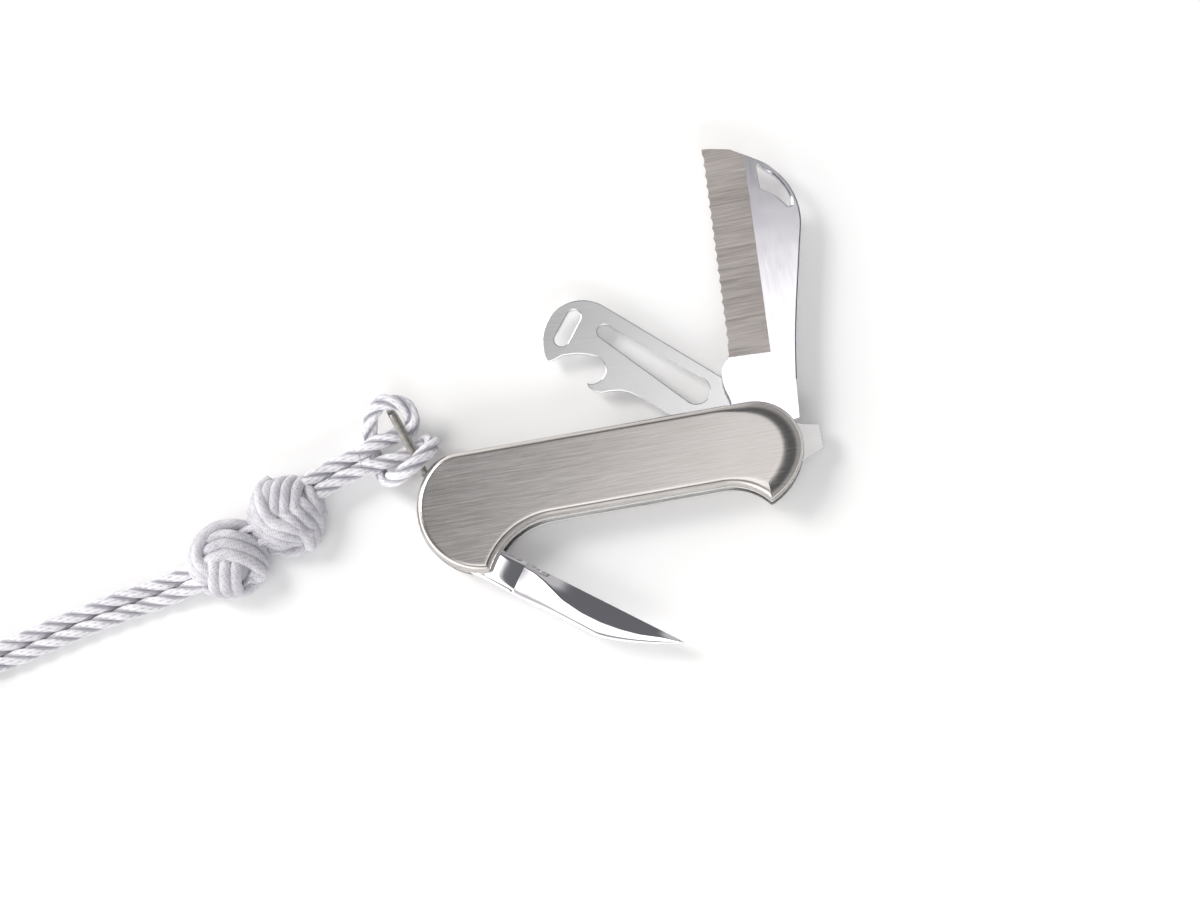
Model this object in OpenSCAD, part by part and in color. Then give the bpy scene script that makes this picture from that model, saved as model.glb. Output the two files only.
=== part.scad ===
// Rigging knife: sheepsfoot blade, tin and bottle opener, marlin spike, fixed
// screwdriver tip, lanyard bail and a white rope lanyard.
// The knife lies on its back scale. The blade pivot stands on the origin, +X runs
// along the handle to the screwdriver, and +Y is the side that the blade opens to.

/* [Handle] */
// Thickness of each outer scale
scale_t = 3.4; // [3:0.1:4]
// Thickness of each liner plate
liner_t = 1.0; // [0.8:0.1:1.2]
// Thickness of the centre plate that ends in the screwdriver
plate_t = 1.2; // [1:0.1:1.4]
// Width of the rounded rim of a scale
rim_w = 2.6; // [2:0.1:3]
// Height of the rounded rim of a scale
rim_h = 2.2; // [1.8:0.1:2.4]
// Step from the edge of a liner back to the edge of its scale
scale_inset = 0.25; // [0.1:0.05:0.4]

/* [Tools] */
// Thickness of the main blade
blade_t = 2.4; // [2.2:0.1:2.6]
// Thickness of the tin opener
opener_t = 2.0; // [1.8:0.1:2.2]
// Gap between neighbouring flat faces
face_gap = 0.1; // [0.05:0.05:0.15]
// Number of serrations along the cutting edge
serrations = 18; // [12:1:22]
// Thickness left along the cutting edge
edge_t = 0.3; // [0.2:0.05:0.5]

/* [Pins] */
// Radius of the blade pivot pin
blade_pin_r = 2.0; // [1.8:0.1:2.2]
// Radius of the spike pivot pin
spike_pin_r = 1.8; // [1.6:0.1:2]
// Radius of the bail pin
bail_pin_r = 1.1; // [1:0.1:1.2]
// Radial clearance of a running hole
run_gap = 0.05; // [0.03:0.01:0.08]

/* [Lanyard] */
// Diameter of the lanyard rope
rope_d = 5.0; // [4.8:0.1:5]
// Radius of the coil at the middle of its turns
coil_r = 27.5; // [27:0.5:29]

/* [Hidden] */

// Layers, from the back face of the knife upwards
z_back_liner = scale_t;
z_gap = z_back_liner + liner_t;
z_opener = z_gap + face_gap;
z_plate = z_opener + opener_t + face_gap;
z_blade = z_plate + plate_t + face_gap;
z_front_liner = z_blade + blade_t + face_gap;
z_front_scale = z_front_liner + liner_t;
z_top = z_front_scale + scale_t;
gap_t = z_front_liner - z_gap;
z_mid = z_gap + gap_t / 2;

// Pivots and fasteners
spike_pivot = [-87.5, -14.5];
bail_pivot = [-93.2, 0.7];
rivet_spots = [[-36, -9.45], [-63, -9.2]];
stud_spots = [[-20, 2], [-66, 1]];
rivet_r = 0.9;
stud_r = 1.5;
stud_depth = 1.2;
// Radial clearance of a press fit
press_gap = 0.01;

// Handle outline: arc centres and radii
nose_c = [-3, -2.4];
nose_r = 13.3;
nose_turn = -25;
chin_r = 20;
chin_c = nose_c + (nose_r - chin_r) * [cos(nose_turn), sin(nose_turn)];
hook_c = [-14, -27.9];
hook_r = 16.1;
pommel_c = [-80.7, -5.4];
pommel_r = 18.6;
shoulder_turn = 135;
shoulder_r = 11.1;
shoulder_c = pommel_c + (pommel_r - shoulder_r) * [cos(shoulder_turn), sin(shoulder_turn)];
waist_c = [-62, -32.5];
waist_r = 20.7;
hook_tip_r = 0.5;
pommel_tip_r = 1.6;
nose_slope = 0.6;

// Points of an arc, ends included
function arc(c, r, a0, a1, n) =
    [for (i = [0:n]) let (a = a0 + (a1 - a0) * i / n) c + r * [cos(a), sin(a)]];
function turned(p, a) = [p.x * cos(a) - p.y * sin(a), p.x * sin(a) + p.y * cos(a)];
function angle_to(from, to) = atan2(to.y - from.y, to.x - from.x);
// Point at distance r1 from c1 and r2 from c2; side picks one of the two
function meet(c1, r1, c2, r2, side) =
    let (d = norm(c2 - c1), u = (c2 - c1) / d, a = (r1 * r1 - r2 * r2 + d * d) / (2 * d))
    c1 + a * u + side * sqrt(r1 * r1 - a * a) * [-u.y, u.x];

// Outline of the handle, moved inwards by d
function handle_outline(d) =
    let (shift = [-nose_slope * d, 0],
         hook_small = max(hook_tip_r - d, 0.2),
         pommel_small = max(pommel_tip_r - d, 0.2),
         hook_tip = meet(chin_c + shift, chin_r - d - hook_small, hook_c, hook_r + d + hook_small, 1),
         pommel_tip = meet(pommel_c, pommel_r - d - pommel_small,
                           waist_c, waist_r + d + pommel_small, -1),
         tip_angle = angle_to(chin_c + shift, hook_tip),
         heel_angle = angle_to(pommel_c, pommel_tip) + 360)
    concat(
        arc(hook_tip, hook_small, angle_to(hook_tip, hook_c), tip_angle, 3),
        arc(chin_c + shift, chin_r - d, tip_angle + 4, nose_turn - 4, 8),
        arc(nose_c + shift, nose_r - d, nose_turn, 90, 18),
        arc(shoulder_c, shoulder_r - d, 90, shoulder_turn - 6, 6),
        arc(pommel_c, pommel_r - d, shoulder_turn, heel_angle - 4, 18),
        arc(pommel_tip, pommel_small, heel_angle, 360 + angle_to(pommel_tip, waist_c), 5),
        arc(waist_c, waist_r + d, angle_to(waist_c, pommel_tip) - 4, 90, 12),
        arc(hook_c, hook_r + d, 90, angle_to(hook_c, hook_tip) + 3, 9));

// ---- Shared builders ----

// Solid skinned over rings of equal length, each ring a list of 3D points
module ring_stack(rings) {
    n = len(rings[0]);
    m = len(rings);
    sides = [for (k = [0:m - 2], i = [0:n - 1], half = [0, 1])
        let (j = (i + 1) % n, near = k * n, far = near + n)
        half == 0 ? [near + i, far + i, far + j] : [near + i, far + j, near + j]];
    caps = [[for (i = [0:n - 1]) i], [for (i = [n - 1:-1:0]) (m - 1) * n + i]];
    polyhedron([for (r = rings, p = r) p], concat(sides, caps), convexity = 6);
}

// Closed loop of rings, for a ring-shaped cutter: the last ring joins the first
module ring_loop(rings) {
    n = len(rings[0]);
    m = len(rings);
    polyhedron([for (r = rings, p = r) p],
        [for (k = [0:m - 1], i = [0:n - 1]) let (j = (i + 1) % n, q = (k + 1) % m)
            [k * n + j, q * n + j, q * n + i, k * n + i]], convexity = 6);
}

// Rim of a scale: the cutter's inset from the outline and its height above the liner.
// It starts just outside the wall and ends just above the face, so that it cuts cleanly.
rim_over = 0.08;
rim_steps = 6;
function rim_inset(t) = scale_inset - rim_over + (rim_w + rim_over) * (1 - cos(90 * t));
function rim_height(t) = scale_t - rim_h + (rim_h + rim_over) * sin(90 * t);
function outline_at(d, z) = [for (p = handle_outline(d)) [p.x, p.y, z]];

// Outer scale with its inner face on z = 0 and its outer face at scale_t
module scale_shell() {
    difference() {
        linear_extrude(scale_t) polygon(handle_outline(scale_inset));
        ring_loop(concat(
            [outline_at(-1, scale_t + 1), outline_at(-1, rim_height(0))],
            [for (k = [0:rim_steps]) let (t = k / rim_steps) outline_at(rim_inset(t), rim_height(t))],
            [outline_at(rim_inset(1), scale_t + 1)]));
    }
}

module liner_plate() {
    difference() {
        linear_extrude(liner_t) polygon(handle_outline(0));
        pin_hole([0, 0], blade_pin_r + press_gap);
        pin_hole(spike_pivot, spike_pin_r + press_gap);
        pin_hole(bail_pivot, bail_pin_r + press_gap);
        for (p = rivet_spots) pin_hole(p, rivet_r + press_gap);
        for (p = stud_spots) pin_hole(p, stud_r + press_gap);
    }
}

module pin_hole(p, r) {
    translate([p.x, p.y, -1]) cylinder(r = r, h = 20, $fn = 48);
}

module pin(p, r, z0, z1) {
    translate([p.x, p.y, z0]) cylinder(r = r, h = z1 - z0, $fn = 48);
}

// ---- Handle ----

module front_scale() {
    color("silver") translate([0, 0, z_front_scale]) difference() {
        scale_shell();
        for (p = stud_spots) translate([p.x, p.y, -1])
            cylinder(r = stud_r + press_gap, h = 1 + stud_depth, $fn = 48);
    }
}

module back_scale() {
    color("silver") difference() {
        translate([0, 0, scale_t]) mirror([0, 0, 1]) scale_shell();
        for (p = stud_spots) translate([p.x, p.y, scale_t - stud_depth])
            cylinder(r = stud_r + press_gap, h = 1 + stud_depth, $fn = 48);
    }
}

module front_liner() {
    color("gainsboro") translate([0, 0, z_front_liner]) liner_plate();
}

module back_liner() {
    color("gainsboro") translate([0, 0, z_back_liner]) liner_plate();
}

// Plate between the blade and the opener; its right end is the flat screwdriver
driver_x = 15.8;
driver_w = 7.1;
driver_y = 1.8;
plate_low = -10.6;
tang_top = -9;

module centre_plate() {
    color("gainsboro") translate([0, 0, z_plate]) difference() {
        union() {
            intersection() {
                linear_extrude(plate_t) polygon(handle_outline(0.8));
                translate([0, 0, -1]) linear_extrude(plate_t + 2) polygon(
                    [[-110, -7], [-88, -7], [-88, tang_top], [-80, tang_top], [-80, plate_low],
                     [20, plate_low], [20, 20], [-110, 20]]);
            }
            linear_extrude(plate_t) polygon([[4, 4.2], [9.6, 3.3], [11.8, 2.6], [driver_x, driver_y],
                [driver_x - 0.1, driver_y - driver_w + 0.6], [driver_x - 0.7, driver_y - driver_w],
                [10.1, -7.2], [4, -9.6]]);
        }
        pin_hole([0, 0], blade_pin_r + press_gap);
        pin_hole(bail_pivot, bail_pin_r + press_gap);
        for (p = rivet_spots) pin_hole(p, rivet_r + press_gap);
    }
}

module front_scale_studs() {
    color("silver") for (p = stud_spots)
        pin(p, stud_r, z_front_liner, z_front_scale + stud_depth);
}

module back_scale_studs() {
    color("silver") for (p = stud_spots)
        pin(p, stud_r, z_back_liner - stud_depth, z_gap);
}

// Springs: flat bars along the belly of the handle, one in each layer. The right end
// rides on the tang of its tool and the left ends ride on the tang of the spike.
spring_end_x = 4.3;
spring_low = -11;
spring_tip_x = -90;
module spring_bar(top_points, t) {
    difference() {
        linear_extrude(t) polygon(concat(
            [[-79, spring_low], [spring_end_x, spring_low]],
            top_points,
            [[spring_tip_x, -7], [spring_tip_x, tang_top - 0.1], [-83, tang_top - 0.1]]));
        for (p = rivet_spots) pin_hole(p, rivet_r + press_gap);
    }
}

module blade_spring() {
    color("lightsteelblue") translate([0, 0, z_blade])
        spring_bar([[spring_end_x, -9.1], [-14, -9.3], [-28, -9.3], [-33, -7.3], [-72, -7]], blade_t);
}

module opener_spring() {
    color("lightsteelblue") translate([0, 0, z_opener])
        spring_bar([[spring_end_x, -7.9], [-41, -7.9], [-43, -9], [-55, -9], [-57.5, -7.5], [-72, -7]],
                   opener_t);
}

module spring_rivets() {
    color("gray") for (p = rivet_spots) pin(p, rivet_r, z_back_liner, z_front_scale);
}

module blade_pivot_pin() {
    color("gray") pin([0, 0], blade_pin_r, z_back_liner, z_front_scale);
}

module spike_pivot_pin() {
    color("gray") pin(spike_pivot, spike_pin_r, z_back_liner, z_front_scale);
}

module bail_pin() {
    color("gray") pin(bail_pivot, bail_pin_r, z_back_liner, z_front_scale);
}

// ---- Main blade, drawn with its cutting edge along Y and turned to its rest angle ----

blade_turn = -2.5;
edge_x = -6.8;
edge_low = 25.3;
edge_high = 85.7;
bevel_x = 4.9;
tang_r = 8.8;
spine_c = [-1.7, 62.6];
spine_r = 20.3;
tooth_depth = 0.45;
tooth_low = 28;
tooth_high = 84;

function blade_outline() = concat(
    arc([0, 0], tang_r, 171, 331, 20),
    arc([0, 0], tang_r, 336, 387, 6),
    [turned([10.5, 4.2], -blade_turn), [10.7, 9.5], [11.2, 15.5], [12.1, 24],
     [13.1, 31], [14.3, 38], [15.8, 46], [17.3, 54]],
    arc(spine_c, spine_r, -10, 64, 14),
    [[1.2, 84.3], [edge_x + 2, 85.5], [edge_x, edge_high]],
    [for (i = [0:serrations * 4]) let (t = i / serrations / 4)
        [edge_x + tooth_depth * abs(sin(180 * serrations * t)), tooth_high - (tooth_high - tooth_low) * t]],
    [[edge_x, edge_low]],
    [[-7.2, 23.8], [-8.4, 22.7], [-9.2, 21.3], [-9.6, 19.3], [-9.6, 17.4], [-9.2, 15.3],
     [-8.4, 13], [-8, 11.5], [-8.1, 7]]);

// Hole that turns a shackle key: a curved triangle near the point
key_side_r = 18.8;
function key_hole() = concat(
    arc([9, 72], 0.8, 180, 235, 3),
    [[10.8, 70.1], [13.3, 68]],
    arc([15.7, 66], 0.6, 220, 372, 6),
    arc(spine_c, key_side_r, 15, 53, 8),
    arc([8.4, 78.2], 0.5, 70, 180, 4));

module bevel_cutter(face) {
    drop = (blade_t - edge_t) / 2;
    tilt = atan(drop / (bevel_x - edge_x));
    mirror([0, 0, face]) translate([bevel_x, edge_low - 1, blade_t / 2]) rotate([0, -tilt, 0])
        translate([-30, 0, 0]) cube([30, 70, 3]);
}

module main_blade() {
    color("whitesmoke") translate([0, 0, z_blade]) rotate([0, 0, blade_turn]) difference() {
        linear_extrude(blade_t) polygon(blade_outline());
        translate([0, 0, -1]) linear_extrude(blade_t + 2) polygon(key_hole());
        translate([0, 0, blade_t / 2]) {
            bevel_cutter(0);
            bevel_cutter(1);
        }
        pin_hole([0, 0], blade_pin_r + run_gap);
    }
}

// ---- Tin and bottle opener, drawn along -X and turned to its rest angle ----

opener_turn = -41.8;
opener_tang_r = 7.6;
head_c = [-59.4, -2.2];
head_r = 11.4;
arm_top = 9.15;
arm_low = -7.7;
notch_c = [-52.5, -8.3];
notch_r = 4.1;

function opener_outline() = concat(
    arc([0, 0], opener_tang_r, 232, 480, 40),
    [[-4.6, arm_top]],
    arc(head_c, head_r, 92, 245, 26),
    [[-63.3, -11.8], [-61.6, -8.9], [-58.4, -6.4], [-55.4, -4.9]],
    arc(notch_c, notch_r, 100, -60, 14),
    [[-51.5, -12.2], [-50.4, -12.9], [-48.3, -13], [-46.5, -12.4], [-44.6, -10.6],
     [-42.1, -8.9], [-39.6, -8.1], [-36, arm_low], [-12, arm_low]]);

// Outline of a tapered slot between a circle at a and a smaller one at b
function slot_outline(a, ra, b, rb) =
    let (lean = asin((ra - rb) / norm(b - a)), along = angle_to(a, b))
    concat(
        arc(a, ra, along + 90 - lean, along + 270 + lean, 16),
        arc(b, rb, along - 90 + lean, along + 90 - lean, 14));

module tin_opener() {
    color("gainsboro") translate([0, 0, z_opener]) rotate([0, 0, opener_turn]) difference() {
        linear_extrude(opener_t) polygon(opener_outline());
        translate([0, 0, -1]) linear_extrude(opener_t + 2) {
            polygon(slot_outline([-24, 2.2], 3.9, [-55.3, 3], 2));
            polygon(slot_outline([-64.4, -5.2], 2.1, [-65, 2.2], 2));
        }
        pin_hole([0, 0], blade_pin_r + run_gap);
    }
}

// ---- Marlin spike, drawn along +X from its pivot and turned to its rest angle ----

spike_turn = -36.6;
spike_t = gap_t - 2 * face_gap;
spike_tang_r = 5;
spike_top = 3.3;
spike_low = -6.2;
spike_step = 18.6;
spike_end = 67.3;
spike_rings = 16;

// Half section of the spike at a distance along it: thick ricasso, then a rounded taper
function spike_half(u) = u < spike_step + 0.1 ? spike_t / 2
    : spike_t / 2 * (0.92 - 0.72 * pow((u - spike_step) / (spike_end - spike_step), 1.4));

// Body of the spike past its step: rings across it, six-sided with a raised spine
function spike_low_at(u) = u < 44 ? spike_low - 0.2
    : spike_low - 0.2 + (spike_top - spike_low - 0.2) * pow((u - 44) / (spike_end - 44), 1.35);
function spike_ring(u) =
    let (h = spike_half(u), lo = spike_low_at(u), w = spike_top - lo)
    [[u, spike_top, 0.6 * h], [u, lo + 0.55 * w, h], [u, lo + 0.18 * w, 0.9 * h], [u, lo, 0.35 * h],
     [u, lo, -0.35 * h], [u, lo + 0.18 * w, -0.9 * h], [u, lo + 0.55 * w, -h], [u, spike_top, -0.6 * h]];

module marlin_spike() {
    color("whitesmoke") translate([spike_pivot.x, spike_pivot.y, z_mid]) rotate([0, 0, spike_turn])
        difference() {
            union() {
                translate([0, 0, -spike_t / 2]) linear_extrude(spike_t) polygon(concat(
                    arc([0, 0], spike_tang_r, 41, 290, 24),
                    [[5, spike_low], [spike_step, spike_low], [spike_step, spike_top]]));
                ring_stack([for (i = [0:spike_rings])
                    spike_ring(spike_step - 0.01 + (spike_end - spike_step) * i / spike_rings)]);
            }
            translate([0, 0, -10]) cylinder(r = spike_pin_r + run_gap, h = 20, $fn = 48);
        }
}

// ---- Bail: a stirrup of round wire on a pin between the liners ----

bail_turn = 109.6;
wire_r = 0.95;
bail_len = 27.5;
eye_half = wire_r + 0.05;
leg_in = gap_t / 2 - face_gap - eye_half;
leg_out = 3.7;
eye_r = 2.1;

// Half of the wire's middle line, from inside one eye to the middle of the bow
bow_r = 2.5;
function half_bail(s) = concat(
    [[0.4, 0, s * leg_in], [5.5, 0, s * leg_in], [7, 0, s * (leg_in + 0.2)], [10, 0, s * (leg_out - 0.2)],
     [11.5, 0, s * leg_out]],
    [for (a = [0:22.5:90]) [bail_len - bow_r + bow_r * sin(a), 0, s * (leg_out - bow_r + bow_r * cos(a))]]);
function bail_path() = concat(half_bail(-1), [for (i = [len(half_bail(1)) - 1:-1:0]) half_bail(1)[i]]);

module bail() {
    color("dimgray") translate([bail_pivot.x, bail_pivot.y, z_mid]) rotate([0, 0, bail_turn]) difference() {
        union() {
            for (s = [1, -1])
                translate([0, 0, s * leg_in - eye_half]) cylinder(r = eye_r, h = 2 * eye_half, $fn = 48);
            tube(bail_path(), wire_r, 12, [0, 1, 0]);
        }
        translate([0, 0, -10]) cylinder(r = bail_pin_r + run_gap, h = 20, $fn = 48);
    }
}

// ---- Lanyard ----

rope_r = rope_d / 2;

// Points of the cow hitch, from leg A round the bail and back to leg B
HITCH = [[-113, 17, 8], [-108, 18.4, 7.8], [-103, 19.4, 7.5], [-99.3, 20, 7.7], [-96.6, 22.4, 9.9],
         [-96.9, 25.6, 12.6], [-100.5, 28, 14.3], [-104.6, 28.2, 13.6], [-107.7, 26, 11.2],
         [-109.3, 22.6, 7.6], [-109.7, 18.5, 3.4], [-109.2, 14.6, 2.6], [-108.3, 10.8, 3.4],
         [-106.6, 7.8, 7], [-103.7, 7, 11.4], [-100.2, 7.9, 14], [-96.4, 10.1, 14.4],
         [-93.2, 12.6, 13.2], [-91.9, 14.9, 10.4], [-93.6, 16.1, 7.9], [-97, 14.8, 7.4],
         [-101, 13.4, 7.5], [-107, 12.2, 7.8], [-113.6, 10.9, 8]];

// Middle line between the two legs: from the hitch to the coil
LEGS = [[-113, 14, 8], [-119, 12.4, 8], [-125, 10.2, 8], [-131, 7.2, 8], [-136.5, 3.4, 8],
        [-142, 0, 8], [-148.5, -3.4, 8], [-155, -6.4, 7.6], [-165.5, -10, 4.8], [-176, -12.2, 2.5],
        [-186, -13.9, 2.5], [-197, -16, 2.5], [-210, -19, 2.5], [-222, -21.8, 2.5],
        [-234, -23.4, 2.5], [-250, -22.8, 2.5]];
coil_c = [-268, -48];
knot_1_c = [-136.4, 3.2];
knot_2_c = [-155, -6.2];
knot_r = 10.3;
knot_h = 16;
end_knot_r = 9;
end_knot_h = 13;
// The hitch is drawn thinner, because its tight bends squeeze the rope
hitch_squeeze = 0.4;

// Frame of a route at point i: unit direction, in the plane of the floor
function way(pts, i) =
    let (d = pts[min(i + 1, len(pts) - 1)] - pts[max(i - 1, 0)]) d / norm(d);
function left_of(d) = [-d.y, d.x, 0] / norm([d.x, d.y]);

// Circle of points round a route point
function tube_ring(p, d, r, sides, flat) =
    let (side = is_undef(flat) ? left_of(d) : flat, up = cross(d, side))
    [for (k = [0:sides - 1]) p + r * (cos(360 * k / sides) * side + sin(360 * k / sides) * up)];

// Round bar along a route; flat is a fixed direction across a route that stays in one plane
module tube(pts, r, sides, flat = undef) {
    ring_stack([for (i = [0:len(pts) - 1]) tube_ring(pts[i], way(pts, i), r, sides, flat)]);
}

// Smooth point of a route between point i and the next, at t
function smooth(pts, i, t) =
    let (p0 = pts[max(i - 1, 0)], p1 = pts[i], p2 = pts[i + 1], p3 = pts[min(i + 2, len(pts) - 1)])
    0.5 * (2 * p1 + (p2 - p0) * t + (2 * p0 - 5 * p1 + 4 * p2 - p3) * t * t
        + (3 * p1 - p0 - 3 * p2 + p3) * t * t * t);

function eased(pts) =
    concat([for (i = [0:len(pts) - 2], t = [0, 0.5]) smooth(pts, i, t)], [pts[len(pts) - 1]]);

function leg_points(side) =
    [for (i = [0:len(LEGS) - 1]) LEGS[i] + side * (rope_r + 0.1) * left_of(way(LEGS, i))];

module lanyard_hitch() {
    color("white") tube(eased(HITCH), rope_r - hitch_squeeze, 8);
}

module lanyard_leg_a() {
    color("white") tube(leg_points(-1), rope_r, 8);
}

module lanyard_leg_b() {
    color("white") tube(leg_points(1), rope_r, 8);
}

module knot_body(c, r, h) {
    color("white") translate([c.x, c.y, 0]) rotate_extrude($fn = 64) intersection() {
        union() {
            translate([r - h / 2, h / 2]) circle(r = h / 2, $fn = 48);
            square([r - h / 2, h]);
        }
        square([r + 1, h + 1]);
    }
}

module lanyard_knot_1() {
    knot_body(knot_1_c, knot_r, knot_h);
}

module lanyard_knot_2() {
    knot_body(knot_2_c, knot_r, knot_h);
}

tie_at = 200;
tie_t = 0.9;
tie_w = 5;
coil_half = 2 * rope_r + 0.2;
coil_h = 4 * rope_r + 0.4;

module lanyard_coil() {
    color("white") translate([coil_c.x, coil_c.y, 0]) difference() {
        rotate_extrude($fn = 96) translate([coil_r - coil_half, 0]) square([2 * coil_half, coil_h]);
        rotate([0, 0, tie_at]) translate([coil_r, 0, 0]) difference() {
            translate([-coil_half - 1, -tie_w / 2 - 0.05, -1])
                cube([2 * coil_half + 2, tie_w + 0.1, coil_h + 2]);
            translate([-coil_half + tie_t, -tie_w, tie_t])
                cube([2 * coil_half - 2 * tie_t, 2 * tie_w, coil_h - 2 * tie_t]);
        }
    }
}

module coil_tie() {
    color("white") translate([coil_c.x, coil_c.y, 0]) rotate([0, 0, tie_at]) translate([coil_r, 0, 0])
        difference() {
            translate([-coil_half, -tie_w / 2, 0]) cube([2 * coil_half, tie_w, coil_h]);
            translate([-coil_half + tie_t - 0.02, -tie_w, tie_t - 0.02])
                cube([2 * coil_half - 2 * tie_t + 0.04, 2 * tie_w, coil_h - 2 * tie_t + 0.04]);
        }
}

module end_knot() {
    knot_body(coil_c, end_knot_r, end_knot_h);
}

front_scale();
back_scale();
front_liner();
back_liner();
centre_plate();
front_scale_studs();
back_scale_studs();
blade_spring();
opener_spring();
spring_rivets();
blade_pivot_pin();
spike_pivot_pin();
bail_pin();
main_blade();
tin_opener();
marlin_spike();
bail();
lanyard_hitch();
lanyard_leg_a();
lanyard_leg_b();
lanyard_knot_1();
lanyard_knot_2();
lanyard_coil();
coil_tie();
end_knot();
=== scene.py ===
"""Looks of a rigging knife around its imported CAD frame: steel tools, satin scales, a rope lanyard."""

import math

import bmesh
import bpy
import numpy as np
from mathutils import Matrix, Vector


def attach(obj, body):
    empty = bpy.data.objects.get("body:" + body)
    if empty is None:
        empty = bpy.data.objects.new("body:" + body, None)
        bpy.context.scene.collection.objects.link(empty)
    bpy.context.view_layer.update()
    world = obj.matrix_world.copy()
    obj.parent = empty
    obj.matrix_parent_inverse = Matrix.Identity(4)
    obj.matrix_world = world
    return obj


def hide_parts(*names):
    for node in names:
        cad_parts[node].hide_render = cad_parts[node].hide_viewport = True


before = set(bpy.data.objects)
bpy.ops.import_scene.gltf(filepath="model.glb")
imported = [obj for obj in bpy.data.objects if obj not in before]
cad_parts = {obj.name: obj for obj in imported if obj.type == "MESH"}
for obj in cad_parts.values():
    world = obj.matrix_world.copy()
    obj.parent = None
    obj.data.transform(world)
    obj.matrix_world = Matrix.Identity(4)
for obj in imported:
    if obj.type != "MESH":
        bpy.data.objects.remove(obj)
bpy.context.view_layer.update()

# Shapes are drawn in millimetres and scaled by MM. Textures, lights and the floor are in metres
MM = 0.001
Z_UP = np.array([0.0, 0.0, 1.0])


# ---------------------------------------------------------------- camera

LENS = 71.0
SENSOR = 36.0
CAMERA_AT = (-19.13, -115.60, 659.71)
LOOK_AT = (-45.91, 5.35, 8.0)
ROLL = math.radians(9.45)


def make_camera():
    """A camera that looks down on the knife, rolled a little, with a long lens."""
    back = Vector(CAMERA_AT) - Vector(LOOK_AT)
    back.normalize()
    up = Vector((math.sin(ROLL), math.cos(ROLL), 0))
    right = up.cross(back).normalized()
    up = back.cross(right)
    data = bpy.data.cameras.new("camera")
    data.lens = LENS
    data.sensor_width = SENSOR
    data.sensor_fit = "HORIZONTAL"
    data.clip_start = 0.01
    data.clip_end = 20
    camera = bpy.data.objects.new("camera", data)
    camera.matrix_world = Matrix.Translation(Vector(CAMERA_AT) * MM) @ Matrix(
        (right, up, back)).transposed().to_4x4()
    bpy.context.scene.collection.objects.link(camera)
    bpy.context.scene.camera = camera


make_camera()


# ---------------------------------------------------------------- helpers

def link(name, mesh, materials=()):
    """A new object in the scene, with its materials."""
    thing = bpy.data.objects.new(name, mesh)
    bpy.context.scene.collection.objects.link(thing)
    for material in materials:
        mesh.materials.append(material)
    return thing


def finish_piece(thing, body, slot, *nodes):
    """Says which body the piece rides on and the CAD nodes it stands for. Its slot is not used."""
    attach(thing, body)
    if nodes:
        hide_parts(*nodes)
    return thing


SPLINE_STEPS = 24
def smooth_route(points, step):
    """Points every step millimetres along a smooth curve through the given points."""
    points = np.array(points, float)
    ends = np.vstack([2 * points[0] - points[1], points, 2 * points[-1] - points[-2]])
    fine = []
    for i in range(1, len(ends) - 2):
        a, b, c, d = ends[i - 1:i + 3]
        for t in np.linspace(0, 1, SPLINE_STEPS, endpoint=False):
            fine.append(0.5 * (2 * b + (c - a) * t + (2 * a - 5 * b + 4 * c - d) * t * t
                               + (3 * b - a - 3 * c + d) * t ** 3))
    fine.append(points[-1])
    fine = np.array(fine)
    along = np.concatenate([[0], np.cumsum(np.linalg.norm(np.diff(fine, axis=0), axis=1))])
    count = max(int(round(along[-1] / step)), 2)
    wanted = np.linspace(0, along[-1], count + 1)
    return np.stack([np.interp(wanted, along, fine[:, k]) for k in range(3)], axis=1)


def unit(rows):
    """Each row at length one."""
    return rows / np.maximum(np.linalg.norm(rows, axis=-1, keepdims=True), 1e-12)


def sideways_along(route):
    """Two sideways directions at each point of a route, turning as little as possible."""
    tangent = unit(np.gradient(route, axis=0))
    side = np.cross(tangent[0], Z_UP)
    if np.linalg.norm(side) < 0.05:
        side = np.array([1.0, 0, 0])
    sides = []
    for t in tangent:
        side = side - t * side.dot(t)
        side = side / np.linalg.norm(side)
        sides.append(side)
    sides = np.array(sides)
    return sides, np.cross(tangent, sides)


def placed(points, pivot, turn):
    """Points turned about Z by degrees and moved to a pivot."""
    c, s = math.cos(math.radians(turn)), math.sin(math.radians(turn))
    x, y, z = points[..., 0], points[..., 1], points[..., 2]
    return pivot + np.stack([x * c - y * s, x * s + y * c, z], axis=-1)


def eased(value, low, high):
    """A soft step from 0 at low to 1 at high."""
    t = np.clip((value - low) / (high - low), 0, 1)
    return t * t * (3 - 2 * t)


class Builder:
    """Collects rings of points into one mesh with an attribute for the rope's fibres and painted shade:
    along, around, and the height that sets painted shade in the creases.
    """

    def __init__(self):
        self.points = []
        self.faces = []
        self.lay_and_shade = []

    def skin(self, rings, lay_and_shade, caps=True):
        """Adds a closed tube over rings, an array of rings x sides x 3, in millimetres."""
        start = len(self.points)
        count, sides = rings.shape[:2]
        self.points.extend(rings.reshape(-1, 3))
        self.lay_and_shade.extend(lay_and_shade.reshape(-1, 3))
        for k in range(count - 1):
            low = start + k * sides
            for i in range(sides):
                j = (i + 1) % sides
                self.faces.append((low + i, low + j, low + sides + j, low + sides + i))
        if caps:
            self.faces.append(tuple(start + i for i in reversed(range(sides))))
            self.faces.append(tuple(start + (count - 1) * sides + i for i in range(sides)))

    def object(self, name, material, sharp=180):
        """The mesh as an object, smooth but for edges over the sharp angle, in degrees."""
        mesh = bpy.data.meshes.new(name)
        mesh.from_pydata([tuple(p * MM) for p in self.points], [], self.faces)
        attribute = mesh.attributes.new("lay_and_shade", "FLOAT_VECTOR", "POINT")
        attribute.data.foreach_set("vector", np.array(self.lay_and_shade, np.float32).ravel())
        mesh.polygons.foreach_set("use_smooth", [True] * len(mesh.polygons))
        if sharp < 180:
            mesh.set_sharp_from_angle(angle=math.radians(sharp))
        mesh.update()
        return link(name, mesh, [material])


# ---------------------------------------------------------------- materials

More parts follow.
